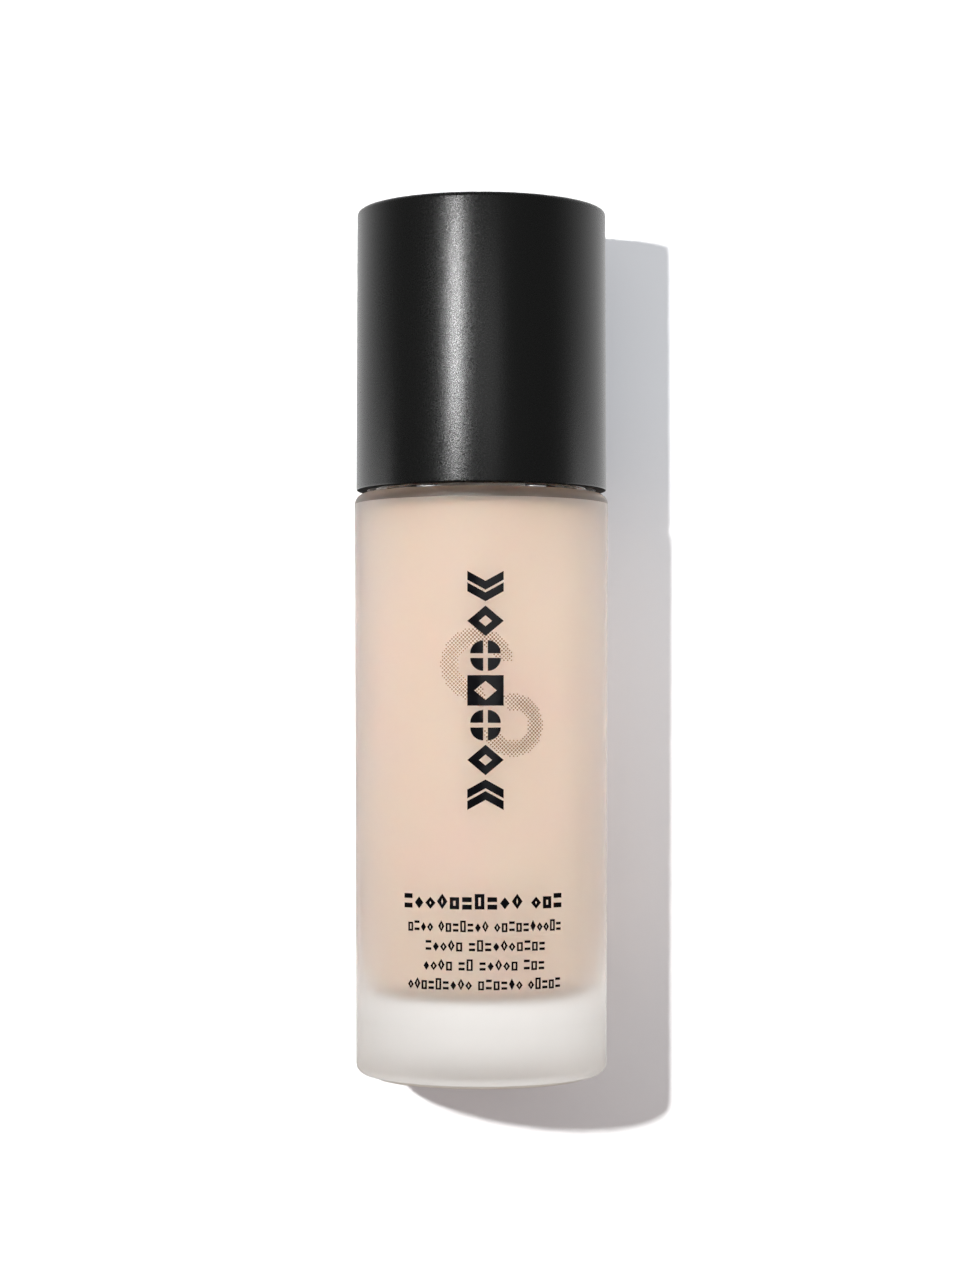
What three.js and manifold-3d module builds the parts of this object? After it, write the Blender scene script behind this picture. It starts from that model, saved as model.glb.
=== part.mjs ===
// A 30 ml liquid foundation bottle: a heavy-based frosted glass bottle, the treatment pump that
// screws onto its neck, and the tall overcap that hides the pump. Millimetres, +Z up, origin at the
// centre of the face that the bottle stands on. The print and the pump's nozzle face -Y.
//
// Everything is turned about the Z axis, so most pieces are lathed from an outline of
// [radius, height] points. Heights are stacked upwards from the glass, piece on piece.
import * as THREE from "three";
import { mergeVertices } from "three/addons/utils/BufferGeometryUtils.js";
import Module from "manifold-3d";

const wasm = await Module();
wasm.setup();

// ---------------------------------------------------------------------------------------------
// Driving dimensions

// Clearances
const TURN_GAP = 0.1; // between pieces that turn or slide on each other
const SNAP_GAP = 0.05; // between pieces that are pressed, snapped or rested together
const FREE_GAP = 0.3; // round anything that has to pass without touching

// Glass bottle
const BODY_RADIUS = 17.08; // at the shoulder
const BODY_DRAFT = 0.22; // by which the body narrows to its base
const SHOULDER_HEIGHT = 78.5;
const SHOULDER_EDGE = 1.45; // corner radius between side and shoulder
const HEEL_EDGE = 1.3; // corner radius between side and base
const GLASS_WALL = 3.8; // side wall, measured at the base
const BASE_THICKNESS = 11;
const SHOULDER_THICKNESS = 1.5;
const FLOOR_CORNER = 3; // inside, where wall and floor meet
const CEILING_CORNER = 1; // inside, where wall and shoulder meet
const FOOT_INSET = 1.1; // from the heel's corner to the foot ring
const FOOT_HEIGHT = 0.5;
const FOOT_WIDTH = 2.8; // of the flat ring that the bottle stands on
const PUNT_HEIGHT = 1; // the hollow inside the foot ring
const NECK_RADIUS = 8.8;
const NECK_BORE = 6.5;
const NECK_HEIGHT = 10.6;
const NECK_FILLET = 0.6;
const LIP_EDGE = 0.4;

// Screw thread on the neck and in the closure, both with a round ridge
const THREAD_PITCH = 3.175;
const THREAD_TURNS = 1.5;
const THREAD_HEIGHT = 1; // how far the ridge stands off its wall
const RIDGE_RADIUS = 0.75;
const THREAD_TOP_DROP = 2.4; // from the lip to the middle of the thread's upper end
const THREAD_RUNOUT = 0.06; // share of the thread's length over which each end sinks away

// Pump: the parts that stay still in use
const GASKET_THICKNESS = 1;
const FLANGE_INSET = 0.2; // of gasket and flange inside the neck's outer wall
const FLANGE_THICKNESS = 1.3;
const BARREL_CLEARANCE = 0.6; // in the neck's bore
const BARREL_WALL = 1.3;
const BARREL_FLOOR = 1.6; // wall under the barrel, from which the nose hangs
const NOSE_WALL = 0.75; // round the ball's chamber
const SOCKET_LENGTH = 7; // of the dip tube in the nose
const INLET_BORE = 1.1;
const INLET_LENGTH = 1.2;
const TUBE_RADIUS = 1.7;
const TUBE_BORE = 1.1;
const TUBE_END_GAP = 1; // from the tube's tip to the floor of the bottle
const RETAINER_DEPTH = 2.7; // how far the retainer reaches into the barrel
const RETAINER_LEDGE = 0.4; // how far its rim overlaps the housing
const RETAINER_RIM_THICKNESS = 1;
const TURRET_WALL = 1.5;
const TURRET_RISE = 1.6; // above the closure's top
const WIPER_THICKNESS = 0.8;
const WIPER_WIDTH = 0.9;
const BALL_RADIUS = 1.75;
const BALL_LIFT = 0.8;
const BALL_STOP_THICKNESS = 0.6;

// Pump: the parts that move
const STROKE = 4.5;
const STEM_RADIUS = 2.4;
const STEM_BORE = 1.2;
const STEM_FOOT_THICKNESS = 1;
const FOOT_GAP = 1; // from the feet of stem and rod to the barrel's wall
const ROD_RADIUS = 1.6;
const ROD_SPIGOT_LENGTH = 5;
const ROD_FOOT_THICKNESS = 1.2;
const FLUTES = 3; // along the rod, for the product's way up
const FLUTE_DEPTH = 0.5;
const PISTON_HEIGHT = 4.1;
const PISTON_LIP = 1.3; // how far the lips stand out from the piston's waist
const PISTON_LAG = 0.8; // how far the piston slips along the rod
const PISTON_PLAY = 0.2;
const SPRING_WIRE = 0.3; // radius of the wire
const SPRING_TURNS = 5;
const SPRING_RESERVE = 0.4; // left open between the turns, with the pump pressed down

// Actuator
const HEAD_RADIUS = 7.5;
const HEAD_WALL = 0.9;
const HEAD_TOP = 1.2;
const HEAD_EDGE = 0.8;
const HEAD_DISH = 0.45; // depth of the finger dish
const HEAD_CROWN = 2.3; // from the nozzle's top to the head's top
const NOZZLE_ROOT_RADIUS = 2.1;
const NOZZLE_TIP_RADIUS = 1.8;
const NOZZLE_BORE = 0.8;
const NOZZLE_LENGTH = 4; // beyond the head's side
const INSERT_LENGTH = 2.2;
const INSERT_WALL = 0.6;
const INSERT_BORE = 0.55;
const SOCKET_WALL = 2.4; // of the core, round the stem
const CORE_DISC = 0.9;

// Closure and shroud
const CLOSURE_WALL = 1.1;
const CLOSURE_TOP = 1.2;
const CLOSURE_HEM = 0.9; // from the shoulder up to the closure
const CLOSURE_RIBS = 12;
const RIB_WIDTH = 1.2;
const SHROUD_WALL = 1;
const SHROUD_EDGE = 0.5;
const SHROUD_HEM = 0.5; // from the shoulder up to the shroud
const SHROUD_OVERLAP = 0.3; // how deep the head's skirt sits in the shroud at rest
const WELL_GAP = 0.4; // round the head, in the shroud's hole
const WELL_WALL = 0.8;

// Overcap
const CAP_GAP = 0.4; // from the shoulder up to the overcap
const CAP_INSET = 0.22; // of the overcap's hem behind the side of the glass
const CAP_DRAFT = 0.14; // by which the overcap narrows to its top
const CAP_WALL = 1.32;
const CAP_TOP = 1.55;
const CAP_EDGE = 0.6;
const CAP_HEM_EDGE = 0.2;
const LINER_GAP = 0.25; // between the shroud and the liner that slides over it
const LINER_WALL = 0.9;
const LINER_TOP = 0.9;
const LINER_RECESS = 0.5; // of the liner behind the overcap's hem
const HEADROOM = 4.6; // from the head's top to the liner's ceiling

// How finely round pieces are cut
const LARGE_SIDES = 40;
const SMALL_SIDES = 24;
const CORNER_STEPS = 3;

// ---------------------------------------------------------------------------------------------
// Heights and radii that follow from the dimensions above

const bodyBaseRadius = BODY_RADIUS - BODY_DRAFT;
const cavityRadius = bodyBaseRadius - GLASS_WALL;
const bodyFloorZ = BASE_THICKNESS;
const bodyCeilingZ = SHOULDER_HEIGHT - SHOULDER_THICKNESS;
const lipZ = SHOULDER_HEIGHT + NECK_HEIGHT;
const threadTopZ = lipZ - THREAD_TOP_DROP;

const gasketFootZ = lipZ + SNAP_GAP;
const gasketTopZ = gasketFootZ + GASKET_THICKNESS;
const flangeRadius = NECK_RADIUS - FLANGE_INSET;
const flangeTopZ = gasketTopZ + FLANGE_THICKNESS;
const closureCeilingZ = flangeTopZ + SNAP_GAP;
const closureTopZ = closureCeilingZ + CLOSURE_TOP;
const turretTopZ = closureTopZ + TURRET_RISE;
const headBottomZ = closureTopZ + FREE_GAP + STROKE;
const coreFootZ = turretTopZ + FREE_GAP + STROKE;
const shroudTopZ = headBottomZ + SHROUD_OVERLAP;
const nozzleZ = shroudTopZ + STROKE + 2 * FREE_GAP + NOZZLE_ROOT_RADIUS;
const nozzleReach = HEAD_RADIUS + NOZZLE_LENGTH;
const headTopZ = nozzleZ + NOZZLE_ROOT_RADIUS + HEAD_CROWN;
const linerCeilingZ = headTopZ + HEADROOM;
const linerTopZ = linerCeilingZ + LINER_TOP;
const capTopZ = linerTopZ + SNAP_GAP + CAP_TOP;
const capHemZ = SHOULDER_HEIGHT + CAP_GAP;

const barrelRadius = NECK_BORE - BARREL_CLEARANCE;
const barrelBore = barrelRadius - BARREL_WALL;
const retainerRimRadius = barrelBore + RETAINER_LEDGE;
const turretRadius = STEM_RADIUS + TURN_GAP + TURRET_WALL;
const footRadius = barrelBore - FOOT_GAP;
const retainerFootZ = flangeTopZ - RETAINER_DEPTH;
const stemFootTopZ = retainerFootZ - SNAP_GAP;
const stemFootZ = stemFootTopZ - STEM_FOOT_THICKNESS;
const stemTopZ = nozzleZ - NOZZLE_BORE - 2 * FREE_GAP;
const pistonFootZ = stemFootZ - PISTON_PLAY - PISTON_LAG - PISTON_HEIGHT;
const rodFootTopZ = pistonFootZ - SNAP_GAP;
const rodFootZ = rodFootTopZ - ROD_FOOT_THICKNESS;
const springLength = STROKE + 2 * SPRING_WIRE * (SPRING_TURNS + 1) + SPRING_RESERVE;
const springRadius = footRadius - SPRING_WIRE;
const barrelFloorZ = rodFootZ - springLength;
const chamberRadius = BALL_RADIUS + 0.5;
const noseRadius = chamberRadius + NOSE_WALL;
const ballSink = Math.sqrt(BALL_RADIUS ** 2 - INLET_BORE ** 2);
const stopRadius = BALL_RADIUS - 0.25;
const stopRise = Math.sqrt(BALL_RADIUS ** 2 - stopRadius ** 2);
const stopTopZ = barrelFloorZ - TURN_GAP;
const ballZ = stopTopZ - BALL_STOP_THICKNESS - stopRise - BALL_LIFT - TURN_GAP;
const seatZ = ballZ - ballSink - TURN_GAP;
const socketTopZ = seatZ - INLET_LENGTH;
const noseFootZ = socketTopZ - SOCKET_LENGTH;

const capHemRadius = BODY_RADIUS - CAP_INSET;
const capTopRadius = capHemRadius - CAP_DRAFT;
const capBore = capTopRadius - CAP_WALL;
const linerRadius = capBore - SNAP_GAP;
const linerBore = linerRadius - LINER_WALL;
const shroudRadius = linerBore - LINER_GAP;
const shroudBore = shroudRadius - SHROUD_WALL;
const closureBore = NECK_RADIUS + THREAD_HEIGHT + FREE_GAP;
const closureRadius = closureBore + CLOSURE_WALL;
const wellBore = HEAD_RADIUS + WELL_GAP;

// ---------------------------------------------------------------------------------------------
// Shape helpers

const quarter = Math.PI / 2;

// Points of a round corner about [r, z], from one angle to another, both in quarter turns.
function corner(r, z, radius, from, to, steps = CORNER_STEPS) {
  const points = [];
  for (let i = 0; i <= steps; i++) {
    const angle = quarter * (from + ((to - from) * i) / steps);
    points.push([r + radius * Math.cos(angle), z + radius * Math.sin(angle)]);
  }
  return points;
}

// Turns an outline about Z. It runs anticlockwise, with radius to the right and height upwards,
// from axis to axis, or round to its first point where it doesn't meet the axis.
function turned(outline, sides = SMALL_SIDES) {
  const points = outline.map(([r, z]) => new THREE.Vector2(Math.max(r, 0), z));
  if (points[0].x > 0) points.push(points[0].clone());
  return new THREE.LatheGeometry(points, sides).rotateX(quarter);
}

// A plain ring or disc between two radii and two heights.
function ring(inner, outer, low, high, sides = SMALL_SIDES) {
  const outline = [[inner, low], [outer, low], [outer, high], [inner, high]];
  return turned(outline, sides);
}

// A box from its lowest to its highest corner.
function block(low, high) {
  const size = high.map((value, i) => value - low[i]);
  const middle = high.map((value, i) => (value + low[i]) / 2);
  return new THREE.BoxGeometry(...size).translate(...middle);
}

// The same box repeated evenly about Z.
function blocksAround(count, low, high) {
  const box = block(low, high);
  return Array.from({ length: count }, (_, i) => box.clone().rotateZ((4 * quarter * i) / count));
}

// A climbing helix about Z. Its ends can draw in towards the axis, so that a ridge fades out.
class Helix extends THREE.Curve {
  constructor({ radius, turns, low, high, runout = 0, drawIn = 0 }) {
    super();
    Object.assign(this, { radius, turns, low, high, runout, drawIn });
  }

  getPoint(t, target = new THREE.Vector3()) {
    const angle = 4 * quarter * this.turns * t;
    const nearness = this.runout ? 1 - Math.min(1, t / this.runout, (1 - t) / this.runout) : 0;
    const r = this.radius + this.drawIn * nearness;
    const z = this.low + (this.high - this.low) * t;
    return target.set(r * Math.cos(angle), r * Math.sin(angle), z);
  }
}

// A round bar along a curve.
function bar(curve, radius, sides, steps) {
  const section = new THREE.Shape();
  for (let i = 0; i < sides; i++) {
    const angle = (4 * quarter * i) / sides;
    const point = [radius * Math.cos(angle), radius * Math.sin(angle)];
    if (i === 0) section.moveTo(...point);
    else section.lineTo(...point);
  }
  section.closePath();
  return new THREE.ExtrudeGeometry(section, { extrudePath: curve, steps, bevelEnabled: false });
}

// A closed geometry as a solid that can be joined and cut.
function solid(geometry) {
  const bare = geometry.clone();
  bare.deleteAttribute("normal");
  bare.deleteAttribute("uv");
  const merged = mergeVertices(bare, 1e-4);
  return new wasm.Manifold(
    new wasm.Mesh({
      numProp: 3,
      vertProperties: merged.attributes.position.array,
      triVerts: new Uint32Array(merged.index.array),
    }),
  );
}

// base with every piece of added joined to it, and then every piece of cut taken away.
function shaped(base, { added = [], cut = [] }) {
  const joined = added.reduce((whole, piece) => whole.add(solid(piece)), solid(base));
  const finished = cut.reduce((whole, piece) => whole.subtract(solid(piece)), joined);
  const mesh = finished.getMesh();
  const geometry = new THREE.BufferGeometry();
  geometry.setAttribute("position", new THREE.BufferAttribute(mesh.vertProperties, mesh.numProp));
  geometry.setIndex(new THREE.BufferAttribute(mesh.triVerts, 1));
  geometry.computeVertexNormals();
  return geometry;
}

// ---------------------------------------------------------------------------------------------
// The bottle and what it holds

// The screw thread's ridge, on a wall of that radius: outside it (side 1) or inside it (side -1).
function threadRidge(wallRadius, side, topZ) {
  const radius = wallRadius + side * (THREAD_HEIGHT - RIDGE_RADIUS);
  const helix = new Helix({
    radius,
    turns: THREAD_TURNS,
    low: topZ - THREAD_PITCH * THREAD_TURNS,
    high: topZ,
    runout: THREAD_RUNOUT,
    drawIn: -side * THREAD_HEIGHT * 0.8,
  });
  return bar(helix, RIDGE_RADIUS, 8, Math.round(THREAD_TURNS * SMALL_SIDES));
}

// The inside of the glass, from the floor's middle to the bore, drawn in by a gap.
function cavityOutline(gap) {
  const radius = cavityRadius - gap;
  const floor = bodyFloorZ + gap;
  const ceiling = bodyCeilingZ - gap;
  return [
    ...corner(radius - FLOOR_CORNER, floor + FLOOR_CORNER, FLOOR_CORNER, -1, 0),
    ...corner(radius - CEILING_CORNER, ceiling - CEILING_CORNER, CEILING_CORNER, 0, 1),
  ];
}

// Thick-walled pressed glass: foot ring, heel, side, shoulder, threaded neck, bore and cavity.
function glassBottle() {
  const heelRadius = bodyBaseRadius - HEEL_EDGE;
  const footOutside = heelRadius - FOOT_INSET;
  const footInside = footOutside - FOOT_WIDTH;
  const shoulderRadius = BODY_RADIUS - SHOULDER_EDGE;
  const neckFoot = [NECK_RADIUS + NECK_FILLET, SHOULDER_HEIGHT + NECK_FILLET];
  const outside = [
    [0, PUNT_HEIGHT],
    [footInside * 0.6, PUNT_HEIGHT * 0.85],
    [footInside * 0.9, PUNT_HEIGHT * 0.4],
    [footInside, 0],
    [footOutside, 0],
    [footOutside + FOOT_HEIGHT / 2, FOOT_HEIGHT],
    ...corner(heelRadius, FOOT_HEIGHT + HEEL_EDGE, HEEL_EDGE, -1, 0),
    ...corner(shoulderRadius, SHOULDER_HEIGHT - SHOULDER_EDGE, SHOULDER_EDGE, 0, 1),
    ...corner(...neckFoot, NECK_FILLET, -1, -2, 2),
    ...corner(NECK_RADIUS - LIP_EDGE, lipZ - LIP_EDGE, LIP_EDGE, 0, 1, 2),
  ];
  const inside = [
    ...corner(NECK_BORE + LIP_EDGE, lipZ - LIP_EDGE, LIP_EDGE, 1, 2, 2),
    [NECK_BORE, bodyCeilingZ],
    ...cavityOutline(0).reverse(),
    [0, bodyFloorZ],
  ];
  return shaped(turned([...outside, ...inside], LARGE_SIDES), {
    added: [threadRidge(NECK_RADIUS, 1, threadTopZ)],
  });
}

// The product that fills the bottle, with a bore where the pump and its tube hang in it.
function foundationFill() {
  const barrelHole = barrelRadius + FREE_GAP;
  const noseHole = noseRadius + FREE_GAP;
  const tubeHole = TUBE_RADIUS + FREE_GAP;
  const tubeFootZ = bodyFloorZ + TUBE_END_GAP / 2;
  const barrelFootZ = barrelFloorZ - BARREL_FLOOR - FREE_GAP;
  const outline = [
    [0, bodyFloorZ + TURN_GAP],
    ...cavityOutline(TURN_GAP),
    [barrelHole, bodyCeilingZ - TURN_GAP],
    [barrelHole, barrelFootZ],
    [noseHole, barrelFootZ],
    [noseHole, noseFootZ - FREE_GAP],
    [tubeHole, noseFootZ - FREE_GAP],
    [tubeHole, tubeFootZ],
    [0, tubeFootZ],
  ];
  return turned(outline, LARGE_SIDES);
}

// ---------------------------------------------------------------------------------------------
// The pump engine, which hangs in the neck

// A soft washer on the glass lip, under the housing's flange.
function lipGasket() {
  return ring(barrelRadius + TURN_GAP, flangeRadius, gasketFootZ, gasketTopZ);
}

// The pump's cylinder: flange, barrel, ball chamber, conical seat, inlet and dip tube socket.
function pumpHousing() {
  const tubeHole = TUBE_RADIUS + SNAP_GAP;
  const outline = [
    [tubeHole, noseFootZ],
    [noseRadius, noseFootZ],
    [noseRadius, barrelFloorZ - BARREL_FLOOR],
    [barrelRadius - 1, barrelFloorZ - BARREL_FLOOR],
    [barrelRadius, barrelFloorZ - BARREL_FLOOR + 1],
    [barrelRadius, gasketTopZ],
    [flangeRadius, gasketTopZ],
    [flangeRadius, flangeTopZ],
    [barrelBore, flangeTopZ],
    [barrelBore, barrelFloorZ],
    [chamberRadius, barrelFloorZ],
    [chamberRadius, seatZ + (chamberRadius - INLET_BORE) * 0.7],
    [INLET_BORE, seatZ],
    [INLET_BORE, socketTopZ],
    [tubeHole, socketTopZ],
  ];
  const stops = blocksAround(
    3,
    [stopRadius, -0.4, stopTopZ - BALL_STOP_THICKNESS],
    [chamberRadius + NOSE_WALL / 2, 0.4, stopTopZ],
  );
  return shaped(turned(outline), { added: stops });
}

// The ring that snaps into the housing's mouth, guides the stem and stops it at the top.
function housingRetainer() {
  const bore = STEM_RADIUS + TURN_GAP;
  const wiperSeat = bore + WIPER_WIDTH + SNAP_GAP;
  return turned([
    [bore, retainerFootZ],
    [barrelBore - SNAP_GAP, retainerFootZ],
    [barrelBore - SNAP_GAP, flangeTopZ],
    [retainerRimRadius, flangeTopZ],
    [retainerRimRadius, flangeTopZ + RETAINER_RIM_THICKNESS],
    [turretRadius, flangeTopZ + RETAINER_RIM_THICKNESS],
    [turretRadius - 0.2, turretTopZ],
    [wiperSeat, turretTopZ],
    [wiperSeat, turretTopZ - WIPER_THICKNESS],
    [bore, turretTopZ - WIPER_THICKNESS],
  ]);
}

// A soft ring in the turret's mouth that wipes the stem.
function stemWiper() {
  const bore = STEM_RADIUS + TURN_GAP;
  return ring(bore, bore + WIPER_WIDTH, turretTopZ - WIPER_THICKNESS, turretTopZ);
}

// A plain tube, pressed into the housing's nose, with its tip cut at a slant.
function dipTube() {
  const tipZ = bodyFloorZ + TUBE_END_GAP;
  const reach = 3 * TUBE_RADIUS;
  const slant = block([-reach, -reach, -reach], [reach, reach, 0]).rotateX(quarter / 3);
  slant.translate(0, 0, tipZ + TUBE_RADIUS * 0.6);
  return shaped(ring(TUBE_BORE, TUBE_RADIUS, tipZ, socketTopZ, 16), { cut: [slant] });
}

// The steel ball that closes the inlet when the piston comes down.
function inletBall() {
  return new THREE.SphereGeometry(BALL_RADIUS, 16, 12).rotateX(quarter).translate(0, 0, ballZ);
}

// The centre line of the wound spring: a closed turn at each end and a steady climb between.
class Spring extends Helix {
  getPoint(t, target) {
    const closed = 2 * SPRING_WIRE + SNAP_GAP;
    const turn = t * SPRING_TURNS;
    const ends = Math.min(turn, 1) + Math.max(turn - SPRING_TURNS + 1, 0);
    const climb = THREE.MathUtils.clamp((turn - 1) / (SPRING_TURNS - 2), 0, 1);
    const point = super.getPoint(t, target);
    return point.setZ(this.low + closed * ends + (this.high - this.low - 2 * closed) * climb);
  }
}

// The spring that holds the rod up.
function returnSpring() {
  const middle = SPRING_WIRE + SNAP_GAP;
  const line = new Spring({
    radius: springRadius,
    turns: SPRING_TURNS,
    low: barrelFloorZ + middle,
    high: rodFootZ - middle,
  });
  return bar(line, SPRING_WIRE, 6, SPRING_TURNS * 14);
}

// ---------------------------------------------------------------------------------------------
// The plunger, which the head pushes down

// The hollow stem: its top plugs into the head, its foot stops under the retainer.
function upperStem() {
  return turned([
    [STEM_BORE, stemFootZ],
    [footRadius, stemFootZ],
    [footRadius, stemFootTopZ],
    [STEM_RADIUS, stemFootTopZ],
    [STEM_RADIUS, stemTopZ],
    [STEM_BORE, stemTopZ],
  ]);
}

// The fluted rod plugged into the stem's foot, with the flange that the spring pushes up.
function pistonRod() {
  const spigot = STEM_BORE - SNAP_GAP;
  const topZ = stemFootZ + ROD_SPIGOT_LENGTH;
  const shoulderZ = stemFootZ - SNAP_GAP;
  const rod = turned([
    [0, rodFootZ],
    [footRadius, rodFootZ],
    [footRadius, rodFootTopZ],
    [ROD_RADIUS, rodFootTopZ],
    [ROD_RADIUS, shoulderZ],
    [spigot, shoulderZ],
    [spigot, topZ],
    [0, topZ],
  ]);
  const flutes = blocksAround(
    FLUTES,
    [spigot - FLUTE_DEPTH, -FLUTE_DEPTH / 2, rodFootTopZ + 2 * PISTON_LAG],
    [ROD_RADIUS + 1, FLUTE_DEPTH / 2, topZ + 1],
  );
  return shaped(rod, { cut: flutes });
}

// The soft piston: two lips that wipe the barrel and a sleeve that slips on the rod.
function piston() {
  const bore = ROD_RADIUS + TURN_GAP;
  const lip = barrelBore - TURN_GAP;
  const waist = barrelBore - PISTON_LIP;
  const foot = pistonFootZ;
  const top = foot + PISTON_HEIGHT;
  return turned([
    [bore, foot],
    [waist, foot],
    [lip - 0.3, foot],
    [lip, foot + 0.5],
    [waist, foot + 1.4],
    [waist, top - 1.4],
    [lip, top - 0.5],
    [lip - 0.3, top],
    [waist, top - 0.9],
    [bore + 0.6, top - 0.9],
    [bore + 0.6, top],
    [bore, top],
  ]);
}

// ---------------------------------------------------------------------------------------------
// The head that the finger presses

// A round bar along -Y at the nozzle's height, from one distance off the axis to another.
function spout(rootRadius, tipRadius, from, to) {
  const cone = new THREE.CylinderGeometry(rootRadius, tipRadius, to - from, SMALL_SIDES);
  return cone.translate(0, -(from + to) / 2, nozzleZ);
}

// Where the nozzle insert lies along the nozzle, with room added behind and before it.
function insertSpan(behind, before) {
  return [nozzleReach - INSERT_LENGTH - behind, nozzleReach + before];
}

// The stem's socket, the passage to the nozzle, and the disc and web that carry the shell.
function actuatorCore() {
  const coreRadius = STEM_RADIUS + SNAP_GAP + SOCKET_WALL;
  const discRadius = HEAD_RADIUS - HEAD_WALL - SNAP_GAP;
  const crownZ = headTopZ - HEAD_TOP - SNAP_GAP;
  const webFront = [NOZZLE_ROOT_RADIUS, -turretRadius - FREE_GAP, nozzleZ];
  const insertHole = INSERT_BORE + INSERT_WALL + SNAP_GAP;
  const webBack = [-NOZZLE_ROOT_RADIUS, -HEAD_RADIUS + TURN_GAP, headBottomZ];
  return shaped(ring(0, coreRadius, coreFootZ, crownZ), {
    added: [
      ring(0, discRadius, crownZ - CORE_DISC, crownZ),
      block(webBack, webFront),
      spout(NOZZLE_ROOT_RADIUS, NOZZLE_TIP_RADIUS, 1, nozzleReach),
    ],
    cut: [
      ring(0, STEM_RADIUS + SNAP_GAP, coreFootZ - 1, stemTopZ + SNAP_GAP),
      ring(0, STEM_BORE, stemTopZ - 1, nozzleZ + NOZZLE_BORE),
      spout(NOZZLE_BORE, NOZZLE_BORE, 0, nozzleReach + 1),
      spout(insertHole, insertHole, ...insertSpan(SNAP_GAP, 1)),
    ],
  });
}

// The small sleeve in the nozzle's tip that shapes the strand of product.
function nozzleInsert() {
  const radius = INSERT_BORE + INSERT_WALL;
  return shaped(spout(radius, radius, ...insertSpan(0, 0)), {
    cut: [spout(INSERT_BORE, INSERT_BORE, ...insertSpan(1, 1))],
  });
}

// The cover of the head: a cup with a dished top, slotted for the nozzle and its web.
function actuatorShell() {
  const bore = HEAD_RADIUS - HEAD_WALL;
  const slot = NOZZLE_ROOT_RADIUS + TURN_GAP;
  const cup = turned(
    [
      [0, headTopZ - HEAD_TOP],
      [bore, headTopZ - HEAD_TOP],
      [bore, headBottomZ],
      [HEAD_RADIUS, headBottomZ],
      ...corner(HEAD_RADIUS - HEAD_EDGE, headTopZ - HEAD_EDGE, HEAD_EDGE, 0, 1),
      [HEAD_RADIUS * 0.6, headTopZ - HEAD_DISH * 0.6],
      [0, headTopZ - HEAD_DISH],
    ],
    LARGE_SIDES,
  );
  const opening = spout(slot, slot, bore - 2, HEAD_RADIUS + 1);
  const web = block([-slot, -HEAD_RADIUS - 1, headBottomZ - 1], [slot, 2 - bore, nozzleZ]);
  return shaped(cup, { cut: [opening, web] });
}

// ---------------------------------------------------------------------------------------------
// The closure that holds the pump on the neck, and the shroud over it

// The threaded ring. Its ridge runs just under the neck's ridge, as it does when screwed tight.
function screwClosure() {
  const hemZ = SHOULDER_HEIGHT + CLOSURE_HEM;
  const hole = retainerRimRadius + 2 * TURN_GAP;
  const body = turned(
    [
      [closureBore, hemZ],
      [closureRadius, hemZ],
      [closureRadius, closureTopZ],
      [hole, closureTopZ],
      [hole, closureCeilingZ],
      [closureBore, closureCeilingZ],
    ],
    LARGE_SIDES,
  );
  const ridgesApart = closureBore - NECK_RADIUS - 2 * (THREAD_HEIGHT - RIDGE_RADIUS);
  const ridgeDrop = Math.sqrt((2 * RIDGE_RADIUS + TURN_GAP) ** 2 - ridgesApart ** 2);
  const shroudFlat = shroudBore * Math.cos((2 * quarter) / LARGE_SIDES);
  const ribReach = Math.sqrt(shroudFlat ** 2 - (RIB_WIDTH / 2) ** 2) - SNAP_GAP;
  const ribs = blocksAround(
    CLOSURE_RIBS,
    [closureRadius - CLOSURE_WALL / 2, -RIB_WIDTH / 2, hemZ],
    [ribReach, RIB_WIDTH / 2, closureTopZ - CLOSURE_TOP],
  );
  return shaped(body, { added: [threadRidge(closureBore, -1, threadTopZ - ridgeDrop), ...ribs] });
}

// The smooth collar pressed over the closure's ribs, with a well that the head dips into.
function collarShroud() {
  const hemZ = SHOULDER_HEIGHT + SHROUD_HEM;
  const wellRadius = wellBore + WELL_WALL;
  const wellFootZ = closureTopZ + SNAP_GAP;
  const ceilingZ = shroudTopZ - SHROUD_WALL;
  const outline = [
    [shroudBore, hemZ],
    [shroudRadius, hemZ],
    ...corner(shroudRadius - SHROUD_EDGE, shroudTopZ - SHROUD_EDGE, SHROUD_EDGE, 0, 1, 2),
    [wellBore, shroudTopZ],
    [wellBore, wellFootZ],
    [wellRadius, wellFootZ],
    [wellRadius, ceilingZ],
    [shroudBore, ceilingZ],
  ];
  return turned(outline, LARGE_SIDES);
}

// ---------------------------------------------------------------------------------------------
// The overcap

// The outer cup, narrowing slightly to a flat top with a small round edge.
function overcapShell() {
  const ceilingZ = linerTopZ + SNAP_GAP;
  const outline = [
    [0, ceilingZ],
    [capBore, ceilingZ],
    [capBore, capHemZ],
    [capHemRadius - CAP_HEM_EDGE, capHemZ],
    [capHemRadius, capHemZ + CAP_HEM_EDGE],
    ...corner(capTopRadius - CAP_EDGE, capTopZ - CAP_EDGE, CAP_EDGE, 0, 1),
    [0, capTopZ],
  ];
  return turned(outline, LARGE_SIDES);
}

// The inner cup, glued into the shell, that slides over the shroud.
function overcapLiner() {
  const hemZ = capHemZ + LINER_RECESS;
  const outline = [
    [0, linerCeilingZ],
    [linerBore, linerCeilingZ],
    [linerBore, hemZ + LINER_WALL / 2],
    [linerBore + LINER_WALL / 2, hemZ],
    [linerRadius, hemZ],
    [linerRadius, linerTopZ],
    [0, linerTopZ],
  ];
  return turned(outline, LARGE_SIDES);
}

// ---------------------------------------------------------------------------------------------
// The assembly

const material = (color, roughness, metalness = 0, more = {}) =>
  new THREE.MeshStandardMaterial({ color, roughness, metalness, ...more });

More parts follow.
